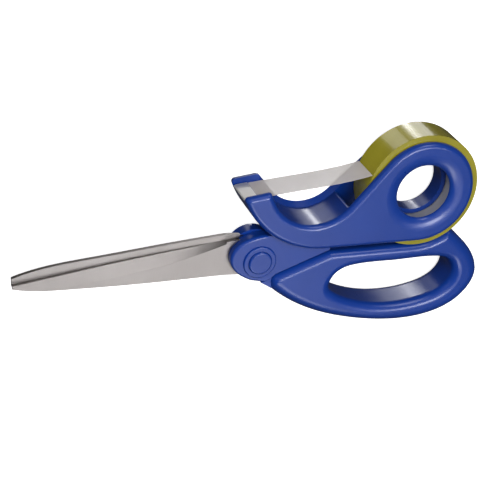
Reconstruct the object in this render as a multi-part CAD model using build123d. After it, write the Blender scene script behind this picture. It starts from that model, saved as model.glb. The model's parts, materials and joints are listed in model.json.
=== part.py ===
"""Scissors whose upper handle is a tape dispenser, lying on their far side.

Millimetres. The design frame has its origin on the roll's axis at the far face: X runs from the
blade tips to the handles, Y from the lower handle to the dispenser, Z from the far face to the
near face. The whole model is moved at the end, so that its origin is the bottom centre of its box.
"""
from build123d import *
import os
from math import acos, asin, atan2, cos, degrees, hypot, radians, sin

# ---- tape and spindle ----
tape_width = 12.7
core_bore_r = 12.7
core_wall = 1.5
roll_r = 22.0
roll_side_gap = 0.45
roll_clearance = 0.5
strip_thickness = 0.1
strip_gap = 0.3
strip_sag = 0.55
strip_lift = 0.02
peel_angle = 160.0
peel_slope = 0.24
spindle_clearance = 0.1
spindle_reach = 6.8
spindle_chamfer = 0.5
sleeve_wall = 2.1
bead_height = 0.3
funnel_width = 4.8
flange_width = 4.3
flange_thickness = 1.2
seat_clearance = 0.05

# ---- dispenser handle ----
plate_thickness = 2.1
plate_edge_land = 0.2
cover_fillet = 1.2
ring_r = 19.7
trough_r = 17.4
trough_x, trough_y = -41.9, 7.6
lip_height = 2.3
lip_tip_r = 0.9
belly_r = 34.9
belly_x = -36.9
nose_rear_x, nose_rear_y = -59.6, 4.4
nose_slope = 0.125
nose_corner_r = 1.3
cheek_height = 2.0
cheek_setback = 1.2
far_cheek_rise = 0.7
frame_wall = 2.0
cavity_clearance = 6.4

# ---- cover screws ----
screw_boss_r = 2.3
screw_core_r = 0.8
screw_length = 8.0
screw_head_height = 1.0
screw_head_gap = 0.35
screw_end_gap = 1.0
cross_width, cross_length, cross_depth = 0.45, 2.2, 0.6
nose_screw = (-62.3, -4.8)
belly_screw = (-50.8, -10.9)
rear_screw_setback, rear_screw_angle = 5.7, 201.0

# ---- pivot ----
pivot_x, pivot_y = -60.5, -24.6
blade_thickness = 1.6
blade_gap = 0.2
hub_depth = 4.1
bolster_r = 11.3
hub_fillet = 1.0
hub_arc_r = 8.6
swing_clearance = 0.4
cap_r = 4.5
cap_height = 1.5
cap_fillet = 0.8
boss_ring_r = 6.3
boss_ring_height = 0.7
boss_ring_fillet = 0.56
boss_root = 0.1
shank_r = 2.45
shank_clearance = 0.05
press_clearance = 0.02
thread_drop = 0.45
bolt_head_width = 1.45
bolt_head_height = 1.5
slot_width, slot_depth = 1.0, 0.6
nut_width = 1.35
nut_height = 1.7
washer_height = 0.4
washer_split = 0.5
washer_split_angle = 12.0
thread_overhang = 0.1
shoulder_reach = 0.1
cap_gap = 0.1

# ---- blades ----
blade_root_x = -72.5
blade_length = 77.0
tip_y = -28.4
edge_land = 0.15
tip_land = 1.2
bevel_overrun = 2.0
front_edge = [(0.0, -17.0, 0.9), (0.15, -18.4, 3.2), (0.3, -19.8, 4.7), (0.5, -21.8, 5.2),
              (0.75, -24.7, 5.0), (1.0, tip_y + 0.8, 4.0)]
front_spine = [(1.0, tip_y - 0.4), (0.93, -29.8), (0.75, -30.6), (0.42, -30.9), (0.0, -30.4)]
rear_edge = [(0.0, -30.0, 0.9), (0.15, -29.8, 3.2), (0.3, -29.5, 4.6), (0.5, -29.3, 4.8),
             (0.75, -29.0, 4.2), (1.0, tip_y, 2.4)]
rear_spine = [(1.0, tip_y + 3.0), (0.88, -22.8), (0.62, -20.1), (0.29, -17.2), (0.0, -15.0)]

# ---- lower handle ----
handle_drop = 2.1
handle_fillet = 2.7
crown_fillet = 4.2
crown_left_x = -58.5
crown_rise = 8.0
crown_lead = 12.0
corner_r = 3.2
opening_fillet = 3.3
handle_knee_x = -33.5
ledge_drop = 0.4

# ---- cutter ----
cutter_setback = 4.2
cutter_thickness = 0.4
cutter_length = 4.6
tooth_pitch = 1.0
tooth_depth = 0.7
pin_r = 0.6
pin_depth = 1.6
pin_setback = 1.0

# ---- worked out from the sizes above ----
body_width = tape_width + 2 * roll_side_gap + 2 * plate_thickness
near_inner_z = body_width - plate_thickness
roll_z = plate_thickness + roll_side_gap
mid_z = body_width / 2
cavity_r = roll_r + cavity_clearance
sleeve_r = core_bore_r - spindle_clearance
finger_hole_r = sleeve_r - sleeve_wall
funnel_r = finger_hole_r + funnel_width
flange_r = core_bore_r + flange_width
near_blade_z = mid_z + blade_gap / 2
far_blade_z = mid_z - blade_gap / 2 - blade_thickness
near_hub_z = body_width - hub_depth
far_hub_z = hub_depth
thread_r = shank_r - thread_drop
nut_r = shank_r + nut_width
bolt_head_z = near_blade_z + blade_thickness
shoulder_z = far_blade_z - shoulder_reach
washer_z = shoulder_z - washer_height
nut_z = washer_z - nut_height
tip_x = blade_root_x - blade_length
cutter_rear_x = nose_rear_x - cutter_setback
handle_gap_r = roll_r + roll_clearance
handle_depth = body_width - handle_drop


def slab(face, low, high):
    """The face pushed up from z=low to z=high."""
    return Pos(0, 0, low) * extrude(face, high - low)


def disc(x, y, r, low, high):
    """A cylinder along Z between two heights."""
    return slab(Pos(x, y) * Circle(r), low, high)


def around(x, y, r, angle):
    """A point r from (x, y) at an angle in degrees."""
    return (x + r * cos(radians(angle)), y + r * sin(radians(angle)))


def at_pivot(r, angle):
    """A point r from the pivot at an angle in degrees."""
    return around(pivot_x, pivot_y, r, angle)


def along(share):
    """X at a share of the blades' length, from their root to their tips."""
    return blade_root_x - share * blade_length


def below_top(x, drop):
    """A point of the lower handle, drop below its top edge."""
    return (x, -handle_gap_r - drop)


def closed(*edges):
    """A face from edges that meet end to end."""
    return make_face(Curve() + list(edges))


def polygon(*points):
    """A face with straight sides."""
    return make_face(Polyline(*points, close=True))


# ---- outline of the dispenser's two sides ----

def slope_tangent(hollow_r):
    """Where the straight flank leaves the ring and where it meets a trough of radius hollow_r."""
    span = hypot(trough_x, trough_y)
    heading = atan2(-trough_y, -trough_x) + asin((ring_r + hollow_r) / span)
    on_ring = (-ring_r * sin(heading), ring_r * cos(heading))
    on_trough = (trough_x + hollow_r * sin(heading), trough_y - hollow_r * cos(heading))
    return on_ring, on_trough


def nose_tangent(hollow_r):
    """Where a line from the nose's rear top corner touches a trough of radius hollow_r."""
    away_x, away_y = nose_rear_x - trough_x, nose_rear_y - trough_y
    angle = atan2(away_y, away_x) + acos(min(1.0, hollow_r / hypot(away_x, away_y)))
    return (trough_x + hollow_r * cos(angle), trough_y + hollow_r * sin(angle))


def nose_top(x, drop=0.0):
    """Height of the nose's sloping top at x, or of a line that lies lower by drop."""
    return nose_rear_y - drop + nose_slope * (x - nose_rear_x)


def dispenser_face(hollow_r=trough_r, rise=0.0):
    """Ring, flank, trough, nose higher by rise, and the belly from the nose to the ring's foot."""
    on_ring, on_trough = slope_tangent(hollow_r)
    on_nose = nose_tangent(hollow_r)
    belly_y = belly_r - ring_r
    front_y = nose_top(belly_x - belly_r, -rise)
    front = (belly_x - (belly_r ** 2 - (front_y - belly_y) ** 2) ** 0.5, front_y)
    rear = (nose_rear_x, nose_rear_y + rise)
    face = closed(
        ThreePointArc((0, -ring_r), (ring_r, 0), on_ring),
        Line(on_ring, on_trough),
        ThreePointArc(on_trough, (trough_x, trough_y - hollow_r), on_nose),
        Line(on_nose, rear),
        Line(rear, front),
        ThreePointArc(front, around(belly_x, belly_y, belly_r, 225), (belly_x, -ring_r)),
        Line((belly_x, -ring_r), (0, -ring_r)),
    )
    corners = [v for v in face.vertices() if v.Y > front_y - 0.01 and v.X < trough_x]
    return fillet(corners, nose_corner_r)


def funnel(inner_z, outer_z):
    """The finger hole's cutter: straight bore with a rounded, elliptical mouth at outer_z."""
    side = 1 if outer_z > inner_z else -1
    past = outer_z + side
    start = 90 if side > 0 else 180
    depth = abs(outer_z - inner_z)
    face = closed(
        EllipticalCenterArc((funnel_r, inner_z), funnel_width, depth, start, arc_size=90),
        Line((finger_hole_r, inner_z), (0, inner_z)),
        Line((0, inner_z), (0, past)),
        Line((0, past), (funnel_r, past)),
        Line((funnel_r, past), (funnel_r, outer_z)),
    )
    return revolve(Plane.XZ * face, Axis.Z)


def web_face():
    """The section between the side plates: nose below its platform, trough wall and belly."""
    margin = 5.0
    left, right = belly_x - belly_r - margin, nose_rear_x + cheek_setback
    above_platform = polygon(
        (left, nose_top(left, cheek_height)), (right, nose_top(right, cheek_height)),
        (right, nose_rear_y + margin), (left, nose_rear_y + margin),
    )
    pieces = (dispenser_face() - Circle(cavity_r) - above_platform).faces()
    face = max(pieces, key=lambda piece: piece.area)
    rounded = offset(offset(face, -lip_tip_r), lip_tip_r)
    return rounded + (face & Pos(trough_x - belly_r, 0) * Rectangle(2 * belly_r, 4 * belly_r))


def screw_spots():
    """The cover screws' places: nose, belly, and behind the roll's cavity."""
    rear = around(0, 0, cavity_r + rear_screw_setback, rear_screw_angle)
    return [nose_screw, belly_screw, rear]


def hub_face():
    """The near hub: a lobed disc about the pivot, and a wedge back to the dispenser's belly."""
    lobe = Spline(
        at_pivot(10.6, 80), at_pivot(10.2, 112), at_pivot(11.0, 142), at_pivot(11.3, 168),
        at_pivot(9.8, 196), at_pivot(8.4, 222), at_pivot(8.0, 250),
    )
    arc_start, arc_end = at_pivot(hub_arc_r, 279), at_pivot(hub_arc_r, 320)
    wedge_tip = below_top(handle_knee_x, -swing_clearance - 0.1)
    inside = (handle_knee_x, -ring_r + frame_wall)
    return closed(
        lobe,
        Line(lobe @ 1, arc_start),
        ThreePointArc(arc_start, at_pivot(hub_arc_r, 300), arc_end),
        Line(arc_end, wedge_tip),
        Line(wedge_tip, inside),
        Line(inside, lobe @ 0),
    )


# ---- blades ----

def front_tang():
    """The front blade's root and its tang, which runs up into the dispenser's belly."""
    return polygon(
        (blade_root_x, front_edge[0][1]), at_pivot(8.6, 88), at_pivot(20.5, 36.5), at_pivot(20.1, 22.9),
        at_pivot(5.8, -45), at_pivot(6.4, -100), (blade_root_x, front_spine[-1][1]),
    )


def rear_tang():
    """The rear blade's root and its tang, which runs down into the lower handle."""
    return polygon(
        (blade_root_x, rear_spine[-1][1]), at_pivot(9.2, 105), at_pivot(6.6, 40),
        below_top(-38.5, 10.1), below_top(-40.5, 15.9), at_pivot(7.2, -85),
        (blade_root_x, rear_edge[0][1]),
    )


def bevel(edge, outer_z, inner_z, inward):
    """A ground bevel's cutter, lofted through stations of (share, edge y, bevel width)."""
    side = 1 if outer_z > inner_z else -1
    beyond = outer_z + side
    sections = []
    for share, edge_y, width in edge:
        x = along(1.02) if share == 1.0 else along(share)
        land_z = inner_z + side * (edge_land + share * (tip_land - edge_land))
        past_y = edge_y - bevel_overrun * inward
        past_z = land_z - bevel_overrun * (outer_z - land_z) / width
        back_y = edge_y + width * inward
        corners = [(x, back_y, outer_z), (x, past_y, past_z), (x, past_y, beyond), (x, back_y, beyond)]
        sections.append(polygon(*corners))
    return loft(sections, ruled=True)


def blade_face(edge, spine, tang):
    """A blade's flat outline: its edge, its blunt tip, its spine and its tang."""
    cutting = Spline(*[(along(share), y) for share, y, _ in edge])
    back = Spline(*[(along(share), y) for share, y in spine])
    return closed(cutting, Line(cutting @ 1, back @ 0), back, Line(back @ 1, cutting @ 0)) + tang


def front_blade():
    """Lower blade: its spine is its lower edge, and its bevel is on the near face."""
    outline = blade_face(front_edge, front_spine, front_tang())
    blade = slab(outline, near_blade_z, bolt_head_z)
    blade -= bevel(front_edge, bolt_head_z, near_blade_z, -1)
    return blade - disc(pivot_x, pivot_y, shank_r + press_clearance, 0, body_width)


def rear_blade():
    """Upper blade: its spine is its upper edge, and its bevel is on the far face."""
    inner_z = far_blade_z + blade_thickness
    blade = slab(blade_face(rear_edge, rear_spine, rear_tang()), far_blade_z, inner_z)
    blade -= bevel(rear_edge, far_blade_z, inner_z, 1)
    return blade - disc(pivot_x, pivot_y, shank_r + shank_clearance, 0, body_width)


def tang_pocket(tang, low):
    """The slot in a moulding for a tang, larger by its clearance all round."""
    outline = offset(tang, seat_clearance, kind=Kind.INTERSECTION)
    return slab(outline, low - seat_clearance, low + blade_thickness + seat_clearance)


# ---- dispenser handle ----

def outer_edges(solid, z):
    """The outer edges of the largest flat face at height z."""
    flat = [face for face in solid.faces() if abs(face.center().Z - z) < 0.01]
    return max(flat, key=lambda face: face.area).outer_wire().edges()


def web():
    """The hollow wall between the plates, with bosses for the screws and the blade's tang."""
    section = web_face()
    hollow = offset(section, -frame_wall) - offset(front_tang(), frame_wall, kind=Kind.INTERSECTION)
    for spot in screw_spots():
        hollow -= Pos(*spot) * Circle(screw_boss_r)
    solid = slab(section - hollow, plate_thickness, near_inner_z)
    for x, y in screw_spots():
        solid -= disc(x, y, screw_core_r, plate_thickness, plate_thickness + screw_length)
    return solid


def pivot_boss(base_z, top_z, outer_z):
    """The raised ring round a pivot cap, rounded at outer_z."""
    ring = disc(pivot_x, pivot_y, boss_ring_r, base_z, top_z)
    return fillet(rim(ring, outer_z), boss_ring_fillet)


def rim(solid, z):
    """The circular edges of a solid at height z."""
    return [e for e in solid.edges() if abs(e.center().Z - z) < 0.01 and e.geom_type == GeomType.CIRCLE]


def dispenser_body():
    """Near side plate, web and near hub in one moulding."""
    plate = slab(dispenser_face(), near_inner_z, body_width)
    body = fillet(outer_edges(plate, body_width), plate_thickness - plate_edge_land) + web()
    body -= disc(pivot_x, pivot_y, bolster_r + swing_clearance, 0, mid_z + blade_gap / 4)
    hub = slab(hub_face(), near_blade_z, near_hub_z)
    lobe = [e for e in outer_edges(hub, near_hub_z) if e.center().X < pivot_x]
    body += fillet(lobe, hub_fillet)
    ring_top = near_hub_z + boss_ring_height
    body += pivot_boss(near_hub_z - boss_root, ring_top, ring_top)
    body -= tang_pocket(front_tang(), near_blade_z)
    body -= disc(pivot_x, pivot_y, cap_r + seat_clearance, near_blade_z, body_width)
    body -= funnel(near_inner_z, body_width)
    for pin in pin_places():
        body -= pin * Cylinder(pin_r + press_clearance, 2 * pin_depth)
    return body


def far_cover():
    """Far side plate: its cheek is taller and its trough shallower, flaring to the web's wall."""
    outline = dispenser_face(trough_r - lip_height, far_cheek_rise)
    plate = slab(outline, 0, plate_thickness)
    cover = fillet(outer_edges(plate, 0), cover_fillet)
    flare = Cone(trough_r - lip_height, trough_r, plate_thickness)
    cover -= Pos(trough_x, trough_y, plate_thickness / 2) * flare
    cover -= disc(0, 0, sleeve_r + seat_clearance, 0, plate_thickness)
    cover -= disc(0, 0, flange_r + seat_clearance, 0, flange_thickness + seat_clearance)
    for x, y in screw_spots():
        cover -= disc(x, y, screw_core_r + screw_head_gap, 0, plate_thickness)
        cover -= disc(x, y, screw_boss_r - screw_head_gap + seat_clearance, 0, screw_head_height)
    return cover


def cover_screws():
    """Self-tapping screws with sunk heads and a cross recess."""
    screws = []
    for x, y in screw_spots():
        screw = disc(x, y, screw_boss_r - screw_head_gap, seat_clearance, screw_head_height)
        end_z = plate_thickness + screw_length - screw_end_gap
        screw += disc(x, y, screw_core_r - press_clearance, screw_head_height, end_z)
        for angle in (0, 90):
            screw -= Pos(x, y) * Rot(0, 0, angle) * Box(cross_length, cross_width, 2 * cross_depth)
        screws += screw.solids()
    return Compound(children=screws)


def roll_spindle():
    """Hollow spindle: a flange sunk in the far cover, a snap bead and a sleeve in the core."""
    top = plate_thickness + spindle_reach
    spindle = disc(0, 0, sleeve_r, 0, top)
    spindle = chamfer(spindle.edges().sort_by(Axis.Z)[-1], spindle_chamfer)
    spindle += disc(0, 0, flange_r, 0, flange_thickness)
    bead_z = plate_thickness + seat_clearance
    spindle += disc(0, 0, sleeve_r + bead_height, bead_z, bead_z + bead_height)
    spindle -= disc(0, 0, finger_hole_r, 0, top)
    return spindle - funnel(plate_thickness, 0)


def tube(inner, outer):
    """A ring about the roll's axis, as wide as the tape."""
    top = roll_z + tape_width
    return disc(0, 0, outer, roll_z, top) - disc(0, 0, inner, roll_z, top)


def tape_core():
    """The roll's core."""
    return tube(core_bore_r, core_bore_r + core_wall)


def tape_roll():
    """The wound tape."""
    return tube(core_bore_r + core_wall, roll_r)


def tape_strip():
    """The free tape: stuck down behind the cutter, then up to where it peels off the roll."""
    lift = cheek_height - strip_lift
    start = Vector(cutter_rear_x + strip_gap, nose_top(cutter_rear_x + strip_gap, lift))
    knee = Vector(nose_rear_x, nose_top(nose_rear_x, lift))
    peel = Vector(*around(0, 0, roll_r + strip_gap, peel_angle))
    middle = (knee + peel) / 2 - Vector(0, strip_sag)
    up = Vector(0, strip_thickness)
    run = Spline(knee, middle, peel, tangents=[(1, nose_slope), (1, peel_slope)])
    face = closed(
        Line(start, knee),
        run,
        Line(peel, peel + up),
        Pos(0, strip_thickness) * run,
        Line(knee + up, start + up),
        Line(start + up, start),
    )
    return slab(face, roll_z, roll_z + tape_width)


# ---- cutter ----

def on_platform(x, z):
    """A place on the platform, with its local Y square to the slope."""
    return Pos(x, nose_top(x, cheek_height), z) * Rot(0, 0, degrees(atan2(nose_slope, 1)))


def pin_places():
    """Where the cutter's pins stand, with their axes square to the platform."""
    x = cutter_rear_x - pin_setback
    return [on_platform(x, mid_z + side * tape_width / 4) * Rot(90, 0, 0) for side in (-1, 1)]


def tape_cutter():
    """Steel plate on the platform, with a toothed front edge."""
    half = tape_width / 2
    count = int(tape_width / tooth_pitch)
    first = -tooth_pitch * count / 2
    points = [(0, half), (0, -half), (-cutter_length, -half)]
    for tooth in range(count):
        low = first + tooth * tooth_pitch
        points += [(-cutter_length, low), (-cutter_length - tooth_depth, low + tooth_pitch / 2)]
    points += [(-cutter_length, first + count * tooth_pitch), (-cutter_length, half)]
    plate = on_platform(cutter_rear_x, mid_z) * extrude(Plane.XZ * polygon(*points), -cutter_thickness)
    for pin in pin_places():
        plate -= pin * Cylinder(pin_r + press_clearance, 4 * cutter_thickness)
    return plate


def cutter_pins():
    """Two plain pins, a little below the top of the cutter."""
    length = pin_depth + cutter_thickness - press_clearance
    pin = Pos(0, 0, length / 2 - cutter_thickness + press_clearance) * Cylinder(pin_r, length)
    return Compound(children=[place * pin for place in pin_places()])


# ---- pivot ----

def pivot_screw():
    """Shouldered screw: slotted head on the front blade, threaded end for the nut."""
    head_top = bolt_head_z + bolt_head_height
    head_r = shank_r + bolt_head_width
    screw = disc(pivot_x, pivot_y, head_r, bolt_head_z, head_top)
    screw += disc(pivot_x, pivot_y, shank_r, shoulder_z, bolt_head_z)
    screw += disc(pivot_x, pivot_y, thread_r, nut_z - thread_overhang, shoulder_z)
    return screw - Pos(pivot_x, pivot_y, head_top) * Box(2 * head_r, slot_width, 2 * slot_depth)


def spring_washer():
    """Split spring washer under the nut."""
    washer = disc(pivot_x, pivot_y, nut_r, washer_z, shoulder_z)
    washer -= disc(pivot_x, pivot_y, thread_r + seat_clearance, washer_z, shoulder_z)
    split = Box(2 * nut_r, washer_split, 4 * washer_height)
    return washer - Pos(pivot_x + nut_r, pivot_y, washer_z) * Rot(0, 0, washer_split_angle) * split


def pivot_nut():
    """Hexagonal nut."""
    return slab(Pos(pivot_x, pivot_y) * (RegularPolygon(nut_r, 6) - Circle(thread_r)), nut_z, washer_z)


def cap(low, high, outer_z):
    """A round cap with a softly rounded outer edge."""
    body = disc(pivot_x, pivot_y, cap_r, low, high)
    return fillet(rim(body, outer_z), cap_fillet)


def pivot_cap():
    """Near cap, over the screw's head."""
    top = near_hub_z + cap_height
    return cap(bolt_head_z + bolt_head_height + cap_gap, top, top)


def nut_cap():
    """Far cap, over the nut."""
    outer = far_hub_z - cap_height
    return cap(outer, nut_z - 2 * cap_gap, outer)


# ---- lower handle ----

def sweep_curve():
    """The handle's outer side: from the horn behind the roll, round the fingers, to the hub."""
    return Spline(
        around(0, 0, handle_gap_r, -50), below_top(21.3, 0.9), below_top(26.6, 7.5),
        below_top(28.7, 15.0), below_top(26.0, 21.9), below_top(19.5, 27.9),
        below_top(10.0, 31.5), below_top(-3.0, 32.6), below_top(-18.5, 30.7),
        below_top(-38.4, 24.5), below_top(-54.8, 13.9),
    )


def handle_face():
    """Outline of the raised handle: it hugs the roll above and sweeps round the fingers below."""
    sweep = sweep_curve()
    heel = below_top(-55.7, 8.7)
    face = closed(
        Line(heel, below_top(handle_knee_x, 0)),
        Line(below_top(handle_knee_x, 0), below_top(0, 0)),
        ThreePointArc(below_top(0, 0), around(0, 0, handle_gap_r, -70), sweep @ 0),
        sweep,
        Line(sweep @ 1, heel),
    )
    ends = [v for v in face.vertices() if v.X > 10 or v.X < handle_knee_x - 10]
    return fillet(ends, corner_r)


def crown(low, high):
    """A taller block with the handle's outer side, rounded more along that side."""
    sweep = sweep_curve()
    start = sweep @ 0
    lead = start - (sweep % 0) * crown_lead
    top_left = Vector(crown_left_x, start.Y + crown_rise)
    block = slab(closed(
        Line(lead, start),
        sweep,
        Line(sweep @ 1, top_left),
        Line(top_left, lead),
    ), low, high)
    rims = [e for z in (low, high) for e in outer_edges(block, z) if e.geom_type == GeomType.BSPLINE]
    return fillet(rims, crown_fillet)


def opening_face():
    """The finger opening."""
    return make_face(Spline(
        below_top(-32.0, 13.8), below_top(-28.6, 8.7), below_top(-21.0, 6.7), below_top(-6.0, 6.5),
        below_top(9.0, 6.3), below_top(16.2, 8.5), below_top(18.4, 13.5), below_top(15.6, 19.1),
        below_top(8.0, 22.9), below_top(-3.0, 24.6), below_top(-13.0, 24.1), below_top(-24.0, 21.1),
        below_top(-30.0, 17.7), periodic=True,
    ))


def far_hub_face():
    """The far hub: a bolster about the pivot, carried back under the dispenser's belly."""
    bolster = Spline(
        at_pivot(8.4, 40), at_pivot(10.0, 66), at_pivot(11.0, 95), at_pivot(bolster_r, 120),
        at_pivot(11.0, 145), at_pivot(9.3, 185), at_pivot(7.6, 220), at_pivot(8.4, 262),
    )
    heel, rear = below_top(-53.0, 14.8), below_top(-40.0, 13.5)
    return closed(
        bolster,
        Line(bolster @ 1, heel),
        Line(heel, rear),
        Line(rear, below_top(-36.0, 2.5)),
        Line(below_top(-36.0, 2.5), bolster @ 0),
    )


def ledge_face():
    """The low step of the handle that the near hub's round edge sweeps along."""
    r = hub_arc_r + swing_clearance
    start, end = at_pivot(r, 279), at_pivot(r, 318)
    inner_top, inner_low, outer_low = below_top(-51.0, 9.0), below_top(-51.0, 14.5), below_top(-53.6, 14.4)
    return closed(
        ThreePointArc(start, at_pivot(r, 300), end),
        Line(end, inner_top),
        Line(inner_top, inner_low),
        Line(inner_low, outer_low),
        Line(outer_low, start),
    )


def lower_handle():
    """Raised handle, far hub and ledge in one moulding."""
    block = slab(handle_face(), 0, handle_depth)
    for z in (0, handle_depth):
        block = fillet(outer_edges(block, z), handle_fillet)
    block = block & crown(0, handle_depth)
    block -= slab(opening_face(), 0, handle_depth)
    body = fillet([e for e in block.edges() if inside_opening(e)], opening_fillet)
    body += slab(far_hub_face(), far_hub_z, far_blade_z + blade_thickness)
    body += slab(ledge_face(), far_hub_z, near_hub_z - ledge_drop)
    ring_low = far_hub_z - boss_ring_height
    body += pivot_boss(ring_low, far_hub_z + boss_root, ring_low)
    body -= tang_pocket(rear_tang(), far_blade_z)
    return body - disc(pivot_x, pivot_y, cap_r + seat_clearance, 0, far_blade_z + 1)


def inside_opening(edge):
    """Whether an edge is a rim of the finger opening, at either face."""
    box = edge.bounding_box()
    reach = opening_face().bounding_box()
    at_face = abs(box.min.Z) < 0.01 or abs(box.min.Z - handle_depth) < 0.01
    inside = box.min.X > reach.min.X - 0.1 and box.max.X < reach.max.X + 0.1
    return at_face and inside and box.size.Z < 0.01 and box.size.Y > 10


PARTS = {
    "dispenser_body": dispenser_body,
    "far_cover": far_cover,
    "cover_screws": cover_screws,
    "roll_spindle": roll_spindle,
    "tape_core": tape_core,
    "tape_roll": tape_roll,
    "tape_strip": tape_strip,
    "tape_cutter": tape_cutter,
    "cutter_pins": cutter_pins,
    "front_blade": front_blade,
    "rear_blade": rear_blade,
    "lower_handle": lower_handle,
    "pivot_screw": pivot_screw,
    "pivot_nut": pivot_nut,
    "spring_washer": spring_washer,
    "pivot_cap": pivot_cap,
    "nut_cap": nut_cap,
}


def main():
    """Build every piece, move the model to its origin and write it out."""
    os.makedirs("parts", exist_ok=True)
    built = {name: Compound(children=list(make().solids())) for name, make in PARTS.items()}
    boxes = [shape.bounding_box() for shape in built.values()]
    middle_x = (min(b.min.X for b in boxes) + max(b.max.X for b in boxes)) / 2
    middle_y = (min(b.min.Y for b in boxes) + max(b.max.Y for b in boxes)) / 2
    print("roll axis in the finished frame:", -middle_x, -middle_y)
    print("pivot in the finished frame:", pivot_x - middle_x, pivot_y - middle_y)
    for name, shape in built.items():
        export_step(Pos(-middle_x, -middle_y, 0) * shape, f"parts/{name}.step")


main()
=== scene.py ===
"""Looks for the dispenser scissors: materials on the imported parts, soft boxes and a camera."""
import json

import bpy
from mathutils import Matrix, Vector

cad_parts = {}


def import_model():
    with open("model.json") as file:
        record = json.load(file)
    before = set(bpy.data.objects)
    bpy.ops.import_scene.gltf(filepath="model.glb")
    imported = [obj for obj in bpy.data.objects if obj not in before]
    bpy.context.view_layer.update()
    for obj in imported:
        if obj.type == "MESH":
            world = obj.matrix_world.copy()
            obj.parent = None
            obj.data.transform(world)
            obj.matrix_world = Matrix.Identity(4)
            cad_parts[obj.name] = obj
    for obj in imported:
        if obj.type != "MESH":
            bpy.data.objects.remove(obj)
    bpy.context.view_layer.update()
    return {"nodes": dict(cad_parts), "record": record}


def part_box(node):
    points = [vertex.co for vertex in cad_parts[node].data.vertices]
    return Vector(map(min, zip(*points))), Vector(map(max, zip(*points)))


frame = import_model()


def middle(node):
    """The centre of a CAD node's box."""
    low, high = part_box(node)
    return (Vector(low) + Vector(high)) / 2


ROLL_AXIS = middle("tape_roll")
STRETCH = 0.06
# How dark the roll's flat sides are painted: partly the layer edges, partly painted shade.
ROLL_SIDE_SHADE = 0.62
FILM_ALPHA = 0.62


# ---------------------------------------------------------------- node helpers

def new_material(name):
    """An empty node material; returns it with its tree and its Principled shader."""
    material = bpy.data.materials.new(name)
    material.use_nodes = True
    tree = material.node_tree
    shader = tree.nodes["Principled BSDF"]
    return material, tree, shader


def add_node(tree, kind, inputs=None, **settings):
    """A node with its settings and its input values."""
    node = tree.nodes.new(kind)
    for key, value in settings.items():
        setattr(node, key, value)
    for key, value in (inputs or {}).items():
        node.inputs[key].default_value = value
    return node


def object_coords(tree):
    """The object's own coordinates, in metres."""
    return tree.nodes.new("ShaderNodeTexCoord").outputs["Object"]


def noise(tree, coords, scale, detail=3.0, roughness=0.5):
    """A noise texture's value."""
    node = add_node(tree, "ShaderNodeTexNoise", {"Scale": scale, "Detail": detail, "Roughness": roughness})
    tree.links.new(coords, node.inputs["Vector"])
    return node.outputs["Fac"]


def ramp(tree, value, stops):
    """A colour ramp over (position, colour) stops."""
    node = tree.nodes.new("ShaderNodeValToRGB")
    band = node.color_ramp
    while len(band.elements) < len(stops):
        band.elements.new(0.5)
    for element, (position, colour) in zip(band.elements, stops):
        element.position = position
        element.color = (*colour, 1)
    tree.links.new(value, node.inputs["Fac"])
    return node.outputs["Color"]


def spread(tree, value, low, high):
    """A 0 to 1 value spread over low to high."""
    node = add_node(tree, "ShaderNodeMapRange", {"To Min": low, "To Max": high})
    tree.links.new(value, node.inputs["Value"])
    return node.outputs["Result"]


def bump(tree, shader, height, strength, distance, normal=None):
    """Bump from a height value; chained bumps pass the earlier one in as normal."""
    node = add_node(tree, "ShaderNodeBump", {"Strength": strength, "Distance": distance})
    tree.links.new(height, node.inputs["Height"])
    if normal is not None:
        tree.links.new(normal, node.inputs["Normal"])
    tree.links.new(node.outputs["Normal"], shader.inputs["Normal"])
    return node.outputs["Normal"]


# ---------------------------------------------------------------- materials

def blue_plastic():
    """Glossy moulded plastic: faint flow mottling, a soft orange peel and handling haze."""
    material, tree, shader = new_material("blue_plastic")
    coords = object_coords(tree)
    tone = noise(tree, coords, 60, 3)
    colour = ramp(tree, tone, [(0.3, (0.0040, 0.036, 0.255)), (0.7, (0.0048, 0.041, 0.285))])
    tree.links.new(colour, shader.inputs["Base Color"])
    haze = noise(tree, coords, 220, 4, 0.6)
    tree.links.new(spread(tree, haze, 0.24, 0.36), shader.inputs["Roughness"])
    shader.inputs["Specular IOR Level"].default_value = 0.6
    shader.inputs["Coat Weight"].default_value = 0.45
    shader.inputs["Coat Roughness"].default_value = 0.22
    peel = bump(tree, shader, noise(tree, coords, 900, 2), 0.10, 0.00006)
    bump(tree, shader, noise(tree, coords, 140, 2), 0.08, 0.00020, peel)
    return material


def brushed_steel(name, dark, light, along=(1, 0, 0), rough=(0.28, 0.44), metallic=1.0):
    """Steel with fine polishing marks that run along one axis."""
    material, tree, shader = new_material(name)
    coords = object_coords(tree)
    mapping = add_node(tree, "ShaderNodeMapping")
    mapping.inputs["Scale"].default_value = tuple(STRETCH if part else 1.0 for part in along)
    tree.links.new(coords, mapping.inputs["Vector"])
    marks = noise(tree, mapping.outputs["Vector"], 3200, 3, 0.6)
    cloud = noise(tree, coords, 45, 2)
    tree.links.new(ramp(tree, cloud, [(0.3, dark), (0.7, light)]), shader.inputs["Base Color"])
    tree.links.new(spread(tree, marks, *rough), shader.inputs["Roughness"])
    shader.inputs["Metallic"].default_value = metallic
    bump(tree, shader, marks, 0.12, 0.00004)
    return material


def white_core():
    """Matt white moulded core."""
    material, tree, shader = new_material("core_plastic")
    coords = object_coords(tree)
    tone = noise(tree, coords, 300, 4)
    colour = ramp(tree, tone, [(0.3, (0.37, 0.37, 0.405)), (0.7, (0.43, 0.43, 0.46))])
    tree.links.new(colour, shader.inputs["Base Color"])
    shader.inputs["Roughness"].default_value = 0.42
    bump(tree, shader, noise(tree, coords, 1500, 2), 0.15, 0.00005)
    return material


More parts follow.
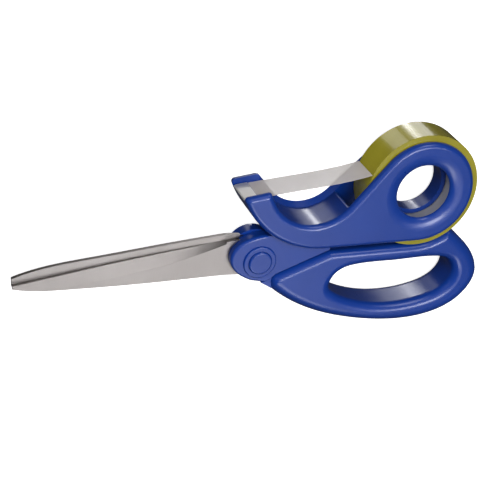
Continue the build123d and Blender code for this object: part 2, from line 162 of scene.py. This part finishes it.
def wound_tape():
    """Wound clear film: olive-yellow in depth, glossy outside, with fine layer lines; the flat sides are
    darker, partly for the layer edges and partly as painted shade.
    """
    material, tree, shader = new_material("tape_wound")
    coords = object_coords(tree)
    axis = add_node(tree, "ShaderNodeVectorMath", operation="SUBTRACT")
    tree.links.new(coords, axis.inputs[0])
    axis.inputs[1].default_value = ROLL_AXIS
    flat = add_node(tree, "ShaderNodeVectorMath", operation="MULTIPLY")
    tree.links.new(axis.outputs["Vector"], flat.inputs[0])
    flat.inputs[1].default_value = (1, 1, 0)
    radius = add_node(tree, "ShaderNodeVectorMath", operation="LENGTH")
    tree.links.new(flat.outputs["Vector"], radius.inputs[0])
    layers = add_node(tree, "ShaderNodeTexNoise", {"Scale": 4200, "Detail": 2.0}, noise_dimensions="1D")
    tree.links.new(radius.outputs["Value"], layers.inputs["W"])
    tone = noise(tree, coords, 45, 3)
    mixed = add_node(tree, "ShaderNodeMath", operation="MULTIPLY_ADD")
    tree.links.new(layers.outputs["Fac"], mixed.inputs[0])
    mixed.inputs[1].default_value = 0.35
    tree.links.new(tone, mixed.inputs[2])
    depth = mixed.outputs["Value"]
    colour = ramp(tree, depth, [(0.45, (0.42, 0.365, 0.018)), (0.9, (0.58, 0.515, 0.038))])
    # Painted shade: faces whose normal runs along the roll's axis are darkened towards ROLL_SIDE_SHADE,
    # partly for the layer edges and partly for less light falling on them.
    facing = add_node(tree, "ShaderNodeSeparateXYZ")
    tree.links.new(tree.nodes.new("ShaderNodeTexCoord").outputs["Normal"], facing.inputs["Vector"])
    sideways = add_node(tree, "ShaderNodeMath", operation="ABSOLUTE")
    tree.links.new(facing.outputs["Z"], sideways.inputs[0])
    shade = add_node(tree, "ShaderNodeHueSaturation")
    tree.links.new(spread(tree, sideways.outputs["Value"], 1.0, ROLL_SIDE_SHADE), shade.inputs["Value"])
    tree.links.new(colour, shade.inputs["Color"])
    tree.links.new(shade.outputs["Color"], shader.inputs["Base Color"])
    shader.inputs["Roughness"].default_value = 0.26
    shader.inputs["Specular IOR Level"].default_value = 0.7
    shader.inputs["Coat Weight"].default_value = 0.7
    shader.inputs["Coat Roughness"].default_value = 0.10
    bump(tree, shader, layers.outputs["Fac"], 0.25, 0.00004)
    return material


def clear_film():
    """One layer of clear film, with the faint cross ripples that peeling leaves."""
    material, tree, shader = new_material("tape_film")
    coords = object_coords(tree)
    mapping = add_node(tree, "ShaderNodeMapping")
    mapping.inputs["Scale"].default_value = (1.0, 1.0, 0.15)
    tree.links.new(coords, mapping.inputs["Vector"])
    ripple = noise(tree, mapping.outputs["Vector"], 260, 2)
    tone = noise(tree, coords, 90, 2)
    colour = ramp(tree, tone, [(0.3, (0.84, 0.775, 0.745)), (0.7, (0.89, 0.825, 0.80))])
    tree.links.new(colour, shader.inputs["Base Color"])
    tree.links.new(spread(tree, ripple, 0.30, 0.42), shader.inputs["Roughness"])
    shader.inputs["Specular IOR Level"].default_value = 0.2
    shader.inputs["Alpha"].default_value = FILM_ALPHA
    bump(tree, shader, ripple, 0.2, 0.0002)
    return material


BLUE = blue_plastic()
BLADE = brushed_steel(
    "blade_steel", (0.55, 0.515, 0.505), (0.62, 0.585, 0.575), along=(0, 1, 0), rough=(0.48, 0.62))
BRIGHT = brushed_steel(
    "cutter_steel", (0.60, 0.585, 0.565), (0.66, 0.645, 0.625), rough=(0.3, 0.4), metallic=0.45)
PLATED = brushed_steel("fastener_steel", (0.55, 0.55, 0.56), (0.62, 0.62, 0.63))
CORE = white_core()
WOUND = wound_tape()
FILM = clear_film()

FINISH = {
    "blue_plastic": BLUE,
    "blade_steel": BLADE,
    "cutter_steel": BRIGHT,
    "fastener_steel": PLATED,
    "core_plastic": CORE,
    "tape_wound": WOUND,
    "tape_film": FILM,
}

for part in frame["record"]["subparts"]:
    cad = frame["nodes"][part["node"]]
    for slot in cad.material_slots:
        slot.material = FINISH[part["material_slot"]]


# ---------------------------------------------------------------- stage, light and camera

FLOOR_SIZE = 6
FLOOR_LIGHT = 0.8
WORLD_BELOW, WORLD_ABOVE = 0.04, 0.06


def add_area(name, place, target, size, power, diffuse=True, glossy=True):
    """A soft box of size (width, height) at a place, aimed at a target."""
    light = bpy.data.lights.new(name, "AREA")
    light.shape = "RECTANGLE"
    light.size, light.size_y = size
    light.energy = power
    lamp = bpy.data.objects.new(name, light)
    lamp.location = place
    lamp.rotation_euler = (Vector(target) - Vector(place)).to_track_quat("-Z", "Y").to_euler()
    lamp.visible_diffuse = diffuse
    lamp.visible_glossy = glossy
    bpy.context.collection.objects.link(lamp)
    return lamp


def floor():
    """A wide pale floor that the object lies on; lights under it can shine up past it."""
    bpy.ops.mesh.primitive_plane_add(size=FLOOR_SIZE)
    plane = bpy.context.object
    plane.name = "floor"
    material, tree, shader = new_material("floor")
    shader.inputs["Base Color"].default_value = (0.9, 0.9, 0.9, 1)
    shader.inputs["Roughness"].default_value = 0.9
    shader.inputs["Specular IOR Level"].default_value = 0.0
    shader.inputs["Emission Color"].default_value = (1, 1, 1, 1)
    shader.inputs["Emission Strength"].default_value = FLOOR_LIGHT
    plane.visible_diffuse = False
    plane.visible_glossy = False
    plane.visible_shadow = False
    plane.data.materials.append(material)


def camera():
    """A long lens over the tip side, rolled a little, as the product is shown."""
    data = bpy.data.cameras.new("camera")
    data.sensor_width = 36
    data.lens = 109.8
    place = Vector((-0.1778, 0.24505, 0.4575))
    target = Vector((-0.0006, -0.00855, 0.0))
    forward = (target - place).normalized()
    up_hint = Vector((0.0806, 0.8847, -0.4591))
    right = forward.cross(up_hint).normalized()
    up = right.cross(forward)
    view = bpy.data.objects.new("camera", data)
    basis = Matrix((right, up, -forward)).transposed()
    view.matrix_world = Matrix.Translation(place) @ basis.to_4x4()
    bpy.context.collection.objects.link(view)
    bpy.context.scene.camera = view


def world():
    """Soft white surroundings that grow dim below the floor."""
    surroundings = bpy.data.worlds.new("studio")
    surroundings.use_nodes = True
    tree = surroundings.node_tree
    direction = tree.nodes.new("ShaderNodeTexCoord").outputs["Generated"]
    parts = tree.nodes.new("ShaderNodeSeparateXYZ")
    tree.links.new(direction, parts.inputs["Vector"])
    rise = add_node(tree, "ShaderNodeMapRange", {"From Min": -0.4, "From Max": 0.4})
    rise.inputs["To Min"].default_value = WORLD_BELOW
    rise.inputs["To Max"].default_value = WORLD_ABOVE
    tree.links.new(parts.outputs["Z"], rise.inputs["Value"])
    backdrop = tree.nodes["Background"]
    backdrop.inputs["Color"].default_value = (1, 1, 1, 1)
    tree.links.new(rise.outputs["Result"], backdrop.inputs["Strength"])
    bpy.context.scene.world = surroundings


# The aims of the soft boxes, and the boxes: those without gloss only light matt colour, and those
# without diffuse only show as reflections. The last three shine up from under the floor.
CENTRE = (0, 0, 0.01)
HANDLES = (0.02, 0, 0.01)
ROLL = (0.06, 0.035, 0.01)

floor()
world()
camera()
add_area("key", (0.33, 0.75, 0.50), HANDLES, (0.3, 0.3), 1.1, diffuse=False)
add_area("left", (-0.6, 0.6, 0.6), CENTRE, (0.6, 0.6), 4.2, glossy=False)
add_area("fill", (0.10, 0.30, 1.10), CENTRE, (0.8, 0.8), 12, glossy=False)
add_area("panel", (0.18, -0.45, 0.90), (0.18, -0.45, 0), (0.55, 0.4), 0.7, diffuse=False)
add_area("low_panel", (0.10, -0.85, 0.90), (0.10, -0.85, 0), (0.6, 0.4), 2.8, diffuse=False)
add_area("crest", (0.32, -0.02, 0.93), CENTRE, (0.25, 0.25), 2.2, diffuse=False)
add_area("sheen", (0.15, 0.16, -0.22), ROLL, (0.12, 0.07), 0.05, diffuse=False)
add_area("streak", (0.17, 0.26, -0.41), HANDLES, (0.05, 0.05), 0.12, diffuse=False)
add_area("glow", (0.024, 0.14, -0.157), ROLL, (0.07, 0.07), 0.02, diffuse=False)
bpy.context.scene.view_settings.view_transform = "Standard"
